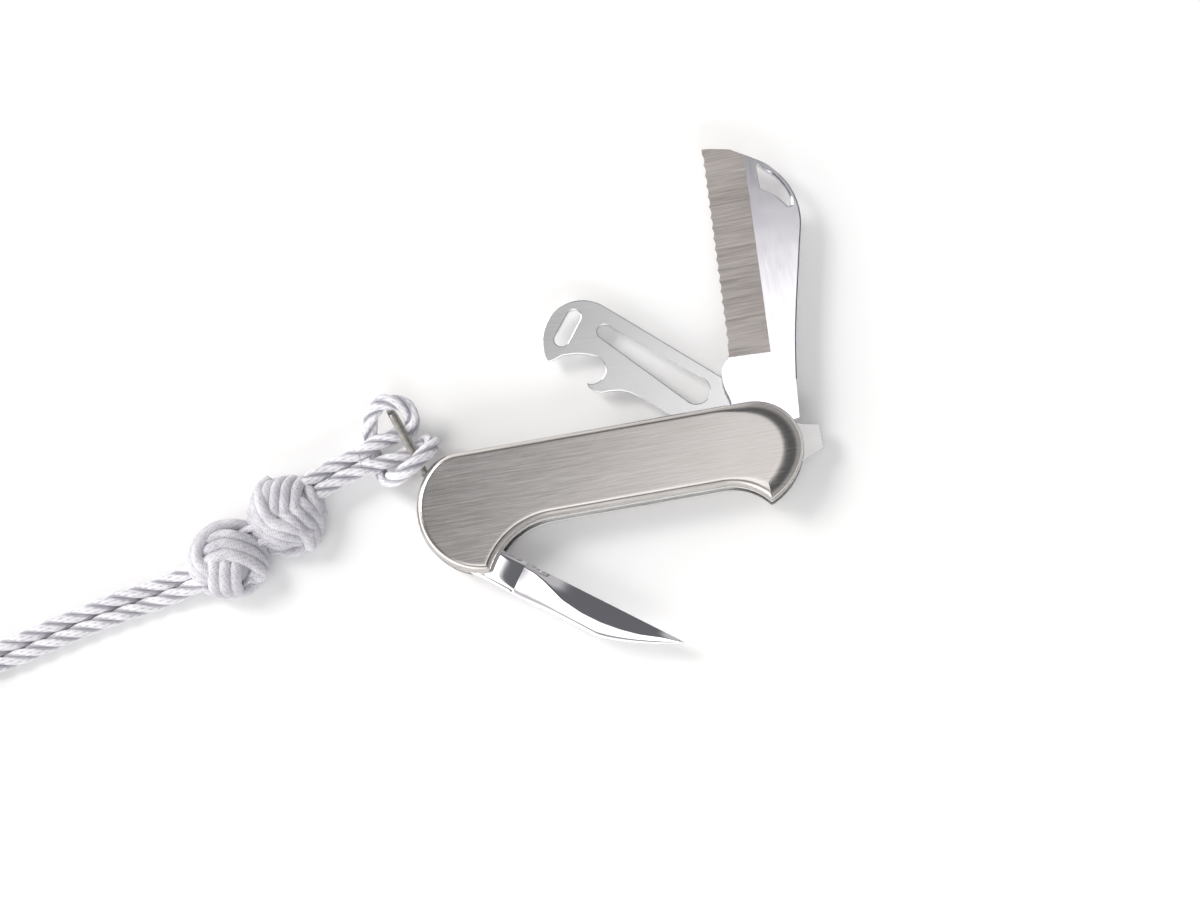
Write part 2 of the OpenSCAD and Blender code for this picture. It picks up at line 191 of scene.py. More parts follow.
def node_maker(tree):
    """A function that makes nodes in a tree, with links into them and their settings."""
    def node(kind, links=(), **values):
        made = tree.nodes.new(kind)
        for key, value in values.items():
            setattr(made, key, value)
        for source, target in links:
            tree.links.new(source, made.inputs[target])
        return made

    return node


def shader(name):
    """A new material with its node tree, its Principled shader and a maker of nodes."""
    material = bpy.data.materials.new(name)
    material.use_nodes = True
    tree = material.node_tree
    return material, tree, tree.nodes["Principled BSDF"], node_maker(tree)


def stretched(node, scale, turn=0.0):
    """Object coordinates, turned about Z by degrees and scaled along each axis."""
    place = node("ShaderNodeTexCoord")
    mapping = node("ShaderNodeMapping", [(place.outputs["Object"], "Vector")])
    mapping.inputs["Rotation"].default_value[2] = math.radians(-turn)
    mapping.inputs["Scale"].default_value = scale
    return mapping.outputs["Vector"]


def noise(node, vector, scale, detail=3.0, rough=0.6):
    """A noise texture's factor."""
    made = node("ShaderNodeTexNoise", [(vector, "Vector")])
    made.inputs["Scale"].default_value = scale
    made.inputs["Detail"].default_value = detail
    made.inputs["Roughness"].default_value = rough
    return made.outputs["Fac"]


def ramp(node, factor, stops):
    """A colour ramp through (place, colour) stops."""
    made = node("ShaderNodeValToRGB", [(factor, "Fac")])
    elements = made.color_ramp.elements
    while len(elements) > 2:
        elements.remove(elements[-1])
    for i, (place, colour) in enumerate(stops):
        element = elements[i] if i < 2 else elements.new(place)
        element.position = place
        element.color = (*colour, 1)
    return made.outputs["Color"]


def remap(node, value, before, after=(0.0, 1.0), **settings):
    """A value with one range mapped onto another."""
    made = node("ShaderNodeMapRange", [(value, "Value")], **settings)
    for name, number in zip(("From Min", "From Max", "To Min", "To Max"), (*before, *after)):
        made.inputs[name].default_value = number
    return made.outputs["Result"]


NOISE_RANGE = (0.3, 0.7)


def spread(node, factor, low, high):
    """A noise's usual range mapped to low and high."""
    return remap(node, factor, NOISE_RANGE, (low, high))


def bump(node, height, strength, distance):
    """A bump node's normal."""
    made = node("ShaderNodeBump", [(height, "Height")])
    made.inputs["Strength"].default_value = strength
    made.inputs["Distance"].default_value = distance
    return made.outputs["Normal"]

# How fast steel's marks change along, across and through it, per metre
FINE_STREAKS = (170, 3600, 900)
COARSE_STREAKS = (75, 1500, 300)
CLOUDS = (35, 60, 60)
WIPES = (700, 90, 200)
WIPE_TURN = 35
RIPPLES = (60, 60, 60)
STREAK_HEIGHT = 0.00004
RIPPLE_HEIGHT = 0.0004


def streaks_scale(scale, reach, grain):
    """Streaks made longer by reach and finer by grain."""
    return scale[0] / reach, scale[1] * grain, scale[2]

def brushed(name, dark, light, rough, turn=0.0, grain=1.0, depth=0.35, cloud=0.3, reach=1.0):
    """Brushed steel: fine streaks along one direction, softer clouds, and streaked gloss."""
    material, tree, main, node = shader(name)
    fine = noise(node, stretched(node, streaks_scale(FINE_STREAKS, reach, grain), turn), 1.0, 3.0, 0.7)
    coarse = noise(node, stretched(node, streaks_scale(COARSE_STREAKS, reach, grain), turn), 1.0, 2.0, 0.5)
    clouds = noise(node, stretched(node, CLOUDS, turn), 1.0, 2.0, 0.5)
    streaks = node("ShaderNodeMix", [(fine, "A"), (coarse, "B")])
    streaks.inputs["Factor"].default_value = 0.4
    mixed = node("ShaderNodeMix", [(streaks.outputs["Result"], "A"), (clouds, "B")])
    mixed.inputs["Factor"].default_value = cloud
    colour = ramp(node, mixed.outputs["Result"], [(0.34, dark), (0.66, light)])
    tree.links.new(colour, main.inputs["Base Color"])
    gloss = spread(node, streaks.outputs["Result"], rough * 0.85, rough * 1.2)
    tree.links.new(gloss, main.inputs["Roughness"])
    tree.links.new(bump(node, streaks.outputs["Result"], depth, STREAK_HEIGHT), main.inputs["Normal"])
    main.inputs["Metallic"].default_value = 1.0
    return material


def polished(name, colour, shade, rough, ripple=0.06):
    """Polished steel: faint wiping marks in the gloss and a slow ripple."""
    material, tree, main, node = shader(name)
    marks = noise(node, stretched(node, WIPES, WIPE_TURN), 1.0, 4.0, 0.7)
    slow = noise(node, stretched(node, RIPPLES), 1.0, 2.0, 0.5)
    colour_out = ramp(node, slow, [(NOISE_RANGE[0], shade), (NOISE_RANGE[1], colour)])
    tree.links.new(colour_out, main.inputs["Base Color"])
    tree.links.new(spread(node, marks, rough * 0.7, rough * 1.5), main.inputs["Roughness"])
    tree.links.new(bump(node, slow, ripple, RIPPLE_HEIGHT), main.inputs["Normal"])
    main.inputs["Metallic"].default_value = 1.0
    return material


FIBRE_HEIGHT = 0.00012

# The lay's height between a crease and a crown, and the painted shade or painted light that each adds to
# the rope's brightness
CREASE_RANGE = (0.25, 0.85)
CREASE_PAINTED_SHADE = (-0.22, 0.05)
def rope_material(name, light, shade, yarn_mm):
    """White fibre: painted shade in yarn creases and between strands and a little painted light on yarn
    crowns, set by the mesh's attribute, with loose fibres and a soft sheen.
    """
    material, tree, main, node = shader(name)
    lay_and_shade = node("ShaderNodeAttribute", attribute_name="lay_and_shade")
    fibres = node("ShaderNodeMapping", [(lay_and_shade.outputs["Vector"], "Vector")])
    fibres.inputs["Scale"].default_value = (1.1 / yarn_mm, 26.0, 3.0)
    fibre = noise(node, fibres.outputs["Vector"], 3.0, 4.0, 0.75)
    slow = noise(node, stretched(node, (160, 160, 160)), 1.0, 3.0, 0.6)
    mixed = node("ShaderNodeMix", [(fibre, "A"), (slow, "B")])
    mixed.inputs["Factor"].default_value = 0.4
    parts = node("ShaderNodeSeparateXYZ", [(lay_and_shade.outputs["Vector"], "Vector")])
    painted_crease_shade = remap(node, parts.outputs["Z"], CREASE_RANGE, CREASE_PAINTED_SHADE)
    factor = node("ShaderNodeMath", [(mixed.outputs["Result"], 0), (painted_crease_shade, 1)],
                  operation="ADD")
    colour = ramp(node, factor.outputs[0], [(0.26, shade), (0.56, light)])
    tree.links.new(colour, main.inputs["Base Color"])
    tree.links.new(spread(node, fibre, 0.55, 0.85), main.inputs["Roughness"])
    tree.links.new(bump(node, fibre, 0.55, FIBRE_HEIGHT), main.inputs["Normal"])
    main.inputs["Sheen Weight"].default_value = 0.35
    main.inputs["Sheen Roughness"].default_value = 0.4
    main.inputs["Specular IOR Level"].default_value = 0.35
    return material


# In both ropes the shade colour is the dark end of the fibre tone, reached mostly through painted crease
# shade; the light colour is that of the lit yarn crowns
ROPE = rope_material("rope_white", (0.90, 0.89, 0.925), (0.43, 0.42, 0.47), 1.6)
TWINE = rope_material("twine_white", (0.90, 0.89, 0.85), (0.70, 0.68, 0.64), 0.6)
SCALE = brushed("scale_brushed", (0.48, 0.45, 0.43), (0.67, 0.645, 0.635), 0.20, grain=1.7,
                depth=0.07, cloud=0.2)
LINER = brushed("liner_satin", (0.62, 0.62, 0.60), (0.80, 0.80, 0.79), 0.24, depth=0.2)
SPRING = brushed("spring_satin", (0.42, 0.42, 0.44), (0.62, 0.62, 0.65), 0.28)
PIN = brushed("pin_turned", (0.50, 0.50, 0.51), (0.72, 0.72, 0.74), 0.22, grain=0.4)
BEVEL = brushed("blade_ground", (0.40, 0.365, 0.345), (0.63, 0.585, 0.565), 0.33, turn=-2.5,
                depth=0.6, cloud=0.25, reach=3.0)
BLADE = polished("blade_polished", (0.90, 0.89, 0.93), (0.82, 0.80, 0.87), 0.11)
OPENER = brushed("opener_satin", (0.72, 0.72, 0.74), (0.86, 0.86, 0.87), 0.20, turn=-41.8, depth=0.12)
SPIKE = polished("spike_polished", (0.92, 0.91, 0.94), (0.86, 0.84, 0.90), 0.07, 0.03)
DRIVER = brushed("plate_satin", (0.80, 0.80, 0.80), (0.92, 0.91, 0.91), 0.30, turn=60, depth=0.2)
BAIL = brushed("bail_dull", (0.20, 0.19, 0.18), (0.42, 0.40, 0.38), 0.34, turn=109.6)


# ---------------------------------------------------------------- lanyard

ROPE_R = 2.35
ROPE_STEP = 0.5
STRAND_SHARE = 0.485
YARN_LOW = 0.82
YARN_RISE = 0.24
LEG_GAP = 2.25
COIL_C = np.array([-268.0, -48.0])
COIL_R = 27.5
FLOOR_Z = 2.5
LAYER_Z = 7.5
TIE_AT = 200.0
KNOT_1 = np.array([-136.4, 3.2, 8.0])
KNOT_2 = np.array([-155.0, -6.2, 8.0])
KNOT_SIZE = (9.6, 9.0, 5.8)

# Square of a strand's shift sideways in its bundle, for each millimetre that it sits lower
KNOT_BEND = 26

# Lay height at the crown of a bare strand's yarns, where a laid strand's reaches 1. Held low, it paints
# the knots' bare strands greyer with painted shade
BARE_CROWN_PAINTED_LIGHT = 0.66
HITCH = [(-112.4, 16.2, 8), (-108, 18.4, 7.8), (-103, 19.4, 7.5), (-99.3, 20, 7.7), (-96.6, 22.4, 9.9),
         (-96.9, 25.6, 12.6), (-100.5, 28, 14.3), (-104.6, 28.2, 13.6), (-107.7, 26, 11.2),
         (-109.3, 22.6, 7.6), (-109.7, 18.5, 3.4), (-109.2, 14.6, 2.6), (-108.3, 10.8, 3.4),
         (-106.6, 7.8, 7), (-103.7, 7, 11.4), (-100.2, 7.9, 14), (-96.4, 10.1, 14.4),
         (-93.2, 12.6, 13.2), (-91.9, 14.9, 10.4), (-93.6, 16.1, 7.9), (-97, 14.8, 7.4),
         (-101, 13.4, 7.5), (-107, 12.4, 7.8), (-113.6, 11.8, 8)]

LEGS = [(-113, 14, 8), (-119, 12.4, 8), (-125, 10.2, 8), (-131, 7.2, 8), (-136.5, 3.4, 8),
        (-142, 0, 8), (-148.5, -3.4, 8), (-155, -6.4, 7.6), (-165.5, -10, 4.8), (-176, -12.2, 2.5),
        (-186, -13.9, 2.5), (-197, -16, 2.5), (-210, -19, 2.5), (-222, -21.8, 2.5),
        (-234, -23.4, 2.5), (-250, -22.8, 2.5)]


def laid_rope(builder, route, radius, pitch=20.0, yarns=6, yarn_pitch=9.6, start=0.0, strands=3,
              cuts=()):
    """Strands laid right-handed round a route, each of left-handed yarns. One strand is a bare
    strand. With cuts, builder is a list, and each builder gets its stretch between the cuts."""
    points = smooth_route(route, ROPE_STEP)
    side, up = sideways_along(points)
    along = np.arange(len(points)) * ROPE_STEP
    strand_r = radius if strands == 1 else STRAND_SHARE * radius
    centre_r = radius - strand_r
    sides = 4 * yarns
    theta = np.linspace(0, 2 * math.pi, sides, endpoint=False)
    marks = [0, *[int(round(cut / ROPE_STEP)) for cut in cuts], len(points) - 1]
    builders = builder if cuts else [builder]
    for strand in range(strands):
        phase = start + 2 * math.pi * (along / pitch + strand / strands)
        outward = side * np.cos(phase)[:, None] + up * np.sin(phase)[:, None]
        middle = points + centre_r * outward
        forward = unit(np.gradient(middle, axis=0))
        e1 = unit(outward - forward * np.sum(outward * forward, axis=1, keepdims=True))
        e2 = np.cross(forward, e1)
        twist = theta[None, :] + 2 * math.pi * along[:, None] / yarn_pitch
        lobe = np.abs(np.cos(yarns / 2 * twist)) ** 0.6
        r = strand_r * (YARN_LOW + YARN_RISE * lobe)
        rings = (middle[:, None, :] + r[..., None] * (np.cos(theta)[None, :, None] * e1[:, None, :]
                 + np.sin(theta)[None, :, None] * e2[:, None, :]))
        # The lay height sets painted shade: low in the creases between yarns and on the side of each
        # strand that faces the others, and held lower on bare strands
        if strands == 1:
            height = BARE_CROWN_PAINTED_LIGHT * lobe
        else:
            height = lobe * np.clip(np.cos(theta) * 2.2 - 0.2, 0.3, 1)[None, :]
        lay_and_shade = np.zeros((len(points), sides, 3))
        lay_and_shade[..., 0] = along[:, None]
        lay_and_shade[..., 1] = (yarns * twist / (2 * math.pi)) % yarns / yarns
        lay_and_shade[..., 2] = height
        for made, low, high in zip(builders, marks, marks[1:]):
            made.skin(rings[low:high + 1], lay_and_shade[low:high + 1])
    return points, marks

def across(route):
    """Unit vectors to the left of a route, in the plane of the floor."""
    way = np.gradient(np.array(route, float), axis=0)
    left = np.stack([-way[:, 1], way[:, 0], np.zeros(len(way))], axis=1)
    return unit(left)


def leg_route(side):
    """One leg of the lanyard: beside the other to the coil, twice round it and into the end knot."""
    line = np.array(LEGS, float)
    route = list(line + side * LEG_GAP * across(line))
    ring_r = COIL_R - side * LEG_GAP
    first, last, climb_from, climb_to = 80, 670, 310, 400
    knot_turn, knot_r, knot_z = 200, 4.5, 6.0
    squeeze_out, lift_low, lift_high, squeeze_width = 0.5, 0.95, -0.45, 90
    for angle in range(first, last + knot_turn + 1, 10):
        climb = eased(angle, climb_from, climb_to)
        z = FLOOR_Z + (LAYER_Z - FLOOR_Z) * climb
        inward = min(max((angle - last) / knot_turn, 0), 1)
        r = ring_r * (1 - inward) + (knot_r - side * LEG_GAP) * inward
        z = z * (1 - inward) + knot_z * inward
        from_tie = ((angle - TIE_AT) % 360 + 180) % 360 - 180
        squeeze = math.exp(-from_tie ** 2 / squeeze_width)
        if inward == 0:
            r += side * squeeze_out * squeeze
            z += (lift_low if climb < 0.5 else lift_high) * squeeze
        a = math.radians(angle)
        route.append(np.array([COIL_C[0] + r * math.cos(a), COIL_C[1] + r * math.sin(a), z]))
    return route

def dome(centre, x, y, low, size=KNOT_SIZE):
    """A point of a knot: on its domed top, or lower where low says so."""
    inside = max(1 - (x / size[0]) ** 2 - (y / size[1]) ** 2, 0)
    return centre + np.array([x, y, size[2] * math.sqrt(inside) - low])


def bundle(builder, centre, line, count, gap, radius, size=KNOT_SIZE):
    """Parallel strands that cross a knot side by side. Each point of line is x, y and a drop."""
    route = smooth_route([dome(centre, *point, size) for point in line], 1.5)
    tangent = unit(np.gradient(route, axis=0))
    outward = unit((route - centre) * np.array([1, 1, 1.6]))
    side = unit(np.cross(tangent, outward))
    for k in range(count):
        shift = (k - (count - 1) / 2) * gap
        moved = route + shift * side - outward * (shift ** 2 / KNOT_BEND)
        laid_rope(builder, moved, radius, yarns=7, yarn_pitch=8.5, start=1.7 * k, strands=1)


def core(builder, centre, size):
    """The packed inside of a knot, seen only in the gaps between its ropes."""
    rows, sides = 10, 18
    lat = np.linspace(-math.pi / 2 + 0.15, math.pi / 2 - 0.15, rows)
    lon = np.linspace(0, 2 * math.pi, sides, endpoint=False)
    rings = np.zeros((rows, sides, 3))
    rings[..., 0] = centre[0] + size[0] * np.cos(lat)[:, None] * np.cos(lon)
    rings[..., 1] = centre[1] + size[1] * np.cos(lat)[:, None] * np.sin(lon)
    rings[..., 2] = centre[2] + size[2] * np.sin(lat)[:, None]
    lay_and_shade = np.zeros((rows, sides, 3))
    lay_and_shade[..., 0] = 6 * lat[:, None]
    lay_and_shade[..., 1] = lon / (2 * math.pi)
    # Its lay height stays zero, so the rope material gives it the darkest painted crease shade: painted
    # shade in the gaps between the ropes
    builder.skin(rings, lay_and_shade)


# Each knot's bundles: points as x, y and drop, then the strands' count, gap and radius.
# The nearer knot has three bundles that turn round each other, and the ropes under them
KNOT_1_BUNDLES = [
    ([(3.5, 8.5, 5), (2, 9.3, 1.6), (0.8, 7, 0.2), (0, 3, 0), (-0.4, -0.5, 0.3), (0.5, -3.5, 4)],
     4, 2.8, 1.6),
    ([(-4, 8, 5), (-7.5, 5.5, 1.8), (-8, 2, 0.2), (-7, -2, 0), (-4.5, -5.5, 0), (-0.5, -7.5, 0.3),
      (4, -8, 3)], 4, 2.7, 1.6),
    ([(0.5, 2, 4), (3.2, 0, 0.4), (6, -3.2, 0), (7.2, -6, 0), (6.8, -8.5, 4)], 3, 2.9, 1.65),
    ([(6, 7, 4), (8.3, 4, 1.4), (9.2, 0.5, 1.5), (8.6, -3, 4)], 2, 2.9, 1.6),
    ([(-9, 3, 5.5), (-9, -3, 5.5), (-5, -8, 5.5), (1, -9.5, 5.5), (7, -6.5, 5.5)], 2, 2.9, 1.6),
    ([(-8, 5, 6.5), (-3, 8.5, 6), (3, 8.5, 6), (8, 4.5, 6), (9, -2, 6)], 2, 2.9, 1.6)]

# The farther knot has an outer bend, a bundle across it, one down its front, and ropes under them
KNOT_2_BUNDLES = [
    ([(8, 5.5, 4.5), (4.5, 8.2, 2), (0.5, 8.8, 0.8), (-4.2, 7.2, 0.3), (-7.6, 3.5, 0), (-8.2, -1, 0),
      (-6, -4.5, 0.6), (-2, -6.5, 3.5)], 3, 2.9, 1.65),
    ([(-6, 1.5, 4), (-3, 2, 0.3), (1.5, 2.6, -0.5), (5.5, 1.2, -0.5), (9, -1, 0), (10.2, -4, 2),
      (8, -6.5, 3), (5, -6.5, 3.5)], 3, 2.9, 1.7),
    ([(1.5, 1, 4), (1, -2, 0.2), (0.2, -5.5, -0.4), (-0.8, -8.5, 0.2), (-1.2, -9.3, 4)], 3, 3.0, 1.7),
    ([(-8.5, 3, 5.5), (-8.5, -4, 5.5), (-3, -8.5, 5.5), (4, -8.5, 5.5), (9, -4, 5.5)], 2, 2.9, 1.6),
    ([(-8, 5, 6), (-3, 8.5, 6), (3.5, 8.5, 6), (8.5, 4.5, 6), (9.5, -1, 6)], 2, 2.9, 1.6)]


def make_knot(name, centre, core_size, bundles):
    """A knot of rope bundles over a packed core."""
    made = Builder()
    core(made, centre, core_size)
    for line, count, gap, radius in bundles:
        bundle(made, centre, line, count, gap, radius)
    return made.object(name, ROPE)

def make_end_knot():
    """The knot in the middle of the coil that ends both legs; its two short ends are not made."""
    made = Builder()
    centre = np.array([COIL_C[0], COIL_C[1], 6.5])
    size = (6.6, 6.6, 4.2)
    core(made, centre, (5.8, 5.8, 4.0))
    for turn in (0, 120, 240):
        c, s = math.cos(math.radians(turn)), math.sin(math.radians(turn))
        line = [(x * c - y * s, x * s + y * c, drop) for x, y, drop in
                [(-5, 2, 3.5), (-3, 3.2, 0.4), (0.5, 3, 0), (4, 0.5, 0.2), (5, -3, 3.5)]]
        bundle(made, centre, line, 3, 2.8, 1.5, size)
    bundle(made, centre, [(6.4, 0, 4), (4, 4.8, 4), (-2, 6, 4), (-6, 1.5, 4), (-5, -4, 4), (1, -6.3, 4),
                          (6, -2, 4)], 2, 2.8, 1.5, size)
    return made.object("end_knot_rope", ROPE)


def make_tie():
    """Four turns of twine round the coil's section, with a small flat knot on top."""
    made = Builder()
    a = math.radians(TIE_AT)
    outward = np.array([math.cos(a), math.sin(a), 0])
    forward = np.array([-math.sin(a), math.cos(a), 0])
    middle = np.array([COIL_C[0], COIL_C[1], 0]) + COIL_R * outward + 5.2 * Z_UP
    turns, twine_r, half_w, half_h = 4, 0.5, 4.75, 4.55
    route = []
    for i in range(turns * 16 + 1):
        phi = 2 * math.pi * i / 16
        c, s = math.cos(phi), math.sin(phi)
        square = (abs(c) ** 5 + abs(s) ** 5) ** (-1 / 5)
        route.append(middle + outward * half_w * c * square + Z_UP * half_h * s * square
                     + forward * (i / 16 - turns / 2) * 1.05)
    laid_rope(made, route, twine_r, pitch=3.0, yarns=3, yarn_pitch=1.5)
    top = middle + Z_UP * (half_h + 0.45)
    for s in (1, -1):
        end = [top - s * forward * 2.4 - outward * 2.2 - Z_UP * 0.5,
               top - outward * 0.8 + s * forward * 0.7,
               top + outward * 0.9 + s * forward * 0.6,
               top + outward * 3.0 + s * forward * 3.2 - Z_UP * 0.6]
        laid_rope(made, end, twine_r, pitch=3.0, yarns=3, yarn_pitch=1.5)
    return made.object("coil_twine", TWINE)


def route_length(route):
    """Length of a smooth route, in millimetres."""
    points = smooth_route(route, ROPE_STEP)
    return float(np.sum(np.linalg.norm(np.diff(points, axis=0), axis=1)))


def make_lanyard():
    """One rope from the end knot to the hitch and back, made as two legs and the hitch."""
    left, right = leg_route(-1), leg_route(1)
    whole = left[::-1] + [np.array(p, float) for p in HITCH[1:-1]] + right
    cut_1 = route_length(left)
    cut_2 = cut_1 + route_length(HITCH)
    left_mesh, hitch_mesh, right_mesh = Builder(), Builder(), Builder()
    points, marks = laid_rope([left_mesh, hitch_mesh, right_mesh], whole, ROPE_R, cuts=(cut_1, cut_2))
    leg_left = finish_piece(left_mesh.object("lanyard_leg_left", ROPE), "bail", "rope",
                            "lanyard_leg_a", "lanyard_coil")
    leg_right = finish_piece(right_mesh.object("lanyard_leg_right", ROPE), "bail", "rope",
                             "lanyard_leg_b")
    hitch = finish_piece(hitch_mesh.object("hitch", ROPE), "bail", "rope", "lanyard_hitch")
    near = finish_piece(make_knot("knot_near", KNOT_1, (8.6, 8.4, 6.0), KNOT_1_BUNDLES), "bail",
                        "rope", "lanyard_knot_1")
    far = finish_piece(make_knot("knot_far", KNOT_2, (8.8, 8.2, 6.0), KNOT_2_BUNDLES), "bail",
                       "rope", "lanyard_knot_2")
    end = finish_piece(make_end_knot(), "bail", "rope", "end_knot")
    tie = finish_piece(make_tie(), "bail", "twine", "coil_tie")


make_lanyard()


# ---------------------------------------------------------------- handle

NOSE_C = np.array([-3.0, -2.4])
NOSE_R = 13.3
NOSE_TURN = -25.0
CHIN_R = 20.0
HOOK_C = np.array([-14.0, -27.9])
HOOK_R = 16.1
POMMEL_C = np.array([-80.7, -5.4])
POMMEL_R = 18.6
SHOULDER_TURN = 135.0
SHOULDER_R = 11.1
WAIST_C = np.array([-62.0, -32.5])
WAIST_R = 20.7
NOSE_SLOPE = 0.6
SCALE_T = 3.4
SCALE_INSET = 0.25
RIM_W = 1.9
NOSE_RIM_W = 3.8
RIM_H = 2.2
RIM_RINGS = 20
FRONT_SCALE_Z = 11.4
BACK_SCALE_Z = 3.4

# The rim widens towards the nose between these two places along the handle
RIM_WIDENS = (-12, 2)


def turn_to(angle):
    """Unit vector at an angle in degrees."""
    return np.array([math.cos(math.radians(angle)), math.sin(math.radians(angle))])


def arc(centre, r, start, end, count):
    """Points of an arc, ends included."""
    return [centre + r * turn_to(a) for a in np.linspace(start, end, count + 1)]


def angle_to(a, b):
    """Angle in degrees of the way from a to b."""
    return math.degrees(math.atan2(b[1] - a[1], b[0] - a[0]))


def meet(c1, r1, c2, r2, side):
    """The point at r1 from c1 and r2 from c2, on one side of the line between them."""
    gap = np.linalg.norm(c2 - c1)
    u = (c2 - c1) / gap
    a = (r1 * r1 - r2 * r2 + gap * gap) / (2 * gap)
    return c1 + a * u + side * math.sqrt(max(r1 * r1 - a * a, 0)) * np.array([-u[1], u[0]])


CHIN_C = NOSE_C + (NOSE_R - CHIN_R) * turn_to(NOSE_TURN)
SHOULDER_C = POMMEL_C + (POMMEL_R - SHOULDER_R) * turn_to(SHOULDER_TURN)


def handle_outline(d):
    """The handle's outline moved inwards by d, with a finer step than the CAD's."""
    shift = np.array([-NOSE_SLOPE * d, 0])
    hook_small = max(0.5 - d, 0.12)
    pommel_small = max(1.6 - d, 0.12)
    hook_tip = meet(CHIN_C + shift, CHIN_R - d - hook_small, HOOK_C, HOOK_R + d + hook_small, 1)
    pommel_tip = meet(POMMEL_C, POMMEL_R - d - pommel_small, WAIST_C, WAIST_R + d + pommel_small, -1)
    tip_angle = angle_to(CHIN_C + shift, hook_tip)
    heel_angle = angle_to(POMMEL_C, pommel_tip) + 360
    top_from = NOSE_C + shift + np.array([0, NOSE_R - d])
    top_to = SHOULDER_C + np.array([0, SHOULDER_R - d])
    belly_from = WAIST_C + np.array([0, WAIST_R + d])
    belly_to = HOOK_C + np.array([0, HOOK_R + d])
    points = arc(hook_tip, hook_small, angle_to(hook_tip, HOOK_C), tip_angle, 4)
    points += arc(CHIN_C + shift, CHIN_R - d, tip_angle + 1.5, NOSE_TURN - 1.5, 22)
    points += arc(NOSE_C + shift, NOSE_R - d, NOSE_TURN, 90, 54)
    points += [top_from + (top_to - top_from) * t for t in np.linspace(0, 1, 30)[1:-1]]
    points += arc(SHOULDER_C, SHOULDER_R - d, 90, SHOULDER_TURN - 3, 18)
    points += arc(POMMEL_C, POMMEL_R - d, SHOULDER_TURN, heel_angle - 1.5, 60)
    points += arc(pommel_tip, pommel_small, heel_angle, 360 + angle_to(pommel_tip, WAIST_C), 6)
    points += arc(WAIST_C, WAIST_R + d, angle_to(WAIST_C, pommel_tip) - 1.5, 90, 36)
    points += [belly_from + (belly_to - belly_from) * t for t in np.linspace(0, 1, 26)[1:-1]]
    points += arc(HOOK_C, HOOK_R + d, 90, angle_to(HOOK_C, hook_tip) + 1, 26)
    return np.array(points)


def make_scale(name, body_z, facing, node):
    """An outer scale: a flat inner face, a rounded rim and a flat outer face."""
    profile = [(0.05, 0.0, 0.0), (0.0, 0.0, 0.06)]
    for t in np.linspace(0, 1, RIM_RINGS):
        a = math.radians(90 * t)
        profile.append((0.0, 1 - math.cos(a), SCALE_T - RIM_H * (1 - math.sin(a))))
    profile.append((0.5, 1.0, SCALE_T))
    rings = []
    for more, part, height in profile:
        narrow = handle_outline(SCALE_INSET + more + RIM_W * part)
        wide = handle_outline(SCALE_INSET + more + NOSE_RIM_W * part)
        line = narrow + (wide - narrow) * eased(handle_outline(0)[:, :1], *RIM_WIDENS)
        rings.append(np.column_stack([line, np.full(len(line), body_z + facing * height)]))
    rings = np.array(rings)
    if facing < 0:
        rings = rings[:, ::-1]
    made = Builder()
    made.skin(rings, np.zeros(rings.shape))
    scale = made.object(name, SCALE, sharp=50)
    return finish_piece(scale, "handle", "scale_steel", node)


make_scale("scale_front", FRONT_SCALE_Z, 1, "front_scale")
make_scale("scale_back", BACK_SCALE_Z, -1, "back_scale")


# ---------------------------------------------------------------- machined pieces

# A face larger than this is a flat one, and isn't shaded as part of a curve
FLAT_AREA = 3e-6
# Points closer than this are one, and faces that turn less than FLAT_TURN are one face
WELD = 0.002
FLAT_TURN = math.radians(0.4)

# Edges that turn more than EDGE_TURN get a chamfer, and more than SHARP_TURN are shaded sharp
EDGE_TURN = math.radians(32)
SHARP_TURN = math.radians(24)

def machined(node, name, body, slot, material, chamfer, wide=None, wide_chamfer=0.0, keep=None):
    """The CAD node's own shape with small chamfers on its edges. wide picks edges by their
    middle, in millimetres, that get wide_chamfer instead, and keep picks edges left as they are."""
    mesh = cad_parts[node].data.copy()
    mesh.materials.clear()
    work = bmesh.new()
    work.from_mesh(mesh)
    bmesh.ops.remove_doubles(work, verts=work.verts, dist=WELD * MM)
    bmesh.ops.dissolve_limit(work, angle_limit=FLAT_TURN, verts=work.verts, edges=work.edges)
    sharp = [e for e in work.edges if e.is_manifold and e.calc_face_angle(0) > EDGE_TURN]
    middles = {e: (e.verts[0].co + e.verts[1].co) / 2 / MM for e in sharp}
    broad = [e for e in sharp if wide and wide(middles[e])]
    left = set(broad) | {e for e in sharp if keep and keep(middles[e])}
    small = [e for e in sharp if e not in left]
    bmesh.ops.bevel(work, geom=small, offset=chamfer * MM, segments=2, profile=0.7,
                    affect="EDGES", clamp_overlap=False)
    if broad:
        broad = [e for e in broad if e.is_valid]
        bmesh.ops.bevel(work, geom=broad, offset=wide_chamfer * MM, segments=2, profile=0.6,
                        affect="EDGES", clamp_overlap=False)
    work.to_mesh(mesh)
    work.free()
    mesh.name = name
    mesh.set_sharp_from_angle(angle=SHARP_TURN)
    for face in mesh.polygons:
        face.use_smooth = abs(face.normal.z) < 0.999 and face.area < FLAT_AREA
    mesh.update()
    thing = link(name, mesh, [material])
    return finish_piece(thing, body, slot, node)


machined("front_liner", "liner_front", "handle", "liner_steel", LINER, 0.12)
machined("back_liner", "liner_back", "handle", "liner_steel", LINER, 0.12)
machined("centre_plate", "driver_plate", "handle", "liner_steel", DRIVER, 0.10)
machined("blade_spring", "spring_blade", "handle", "spring_steel", SPRING, 0.15)
machined("opener_spring", "spring_opener", "handle", "spring_steel", SPRING, 0.15)
machined("tin_opener", "opener", "opener", "opener_steel", OPENER, 0.22)

BLADE_TURN = -2.5
BEVEL_X = 4.9
BEVEL_FROM = 24

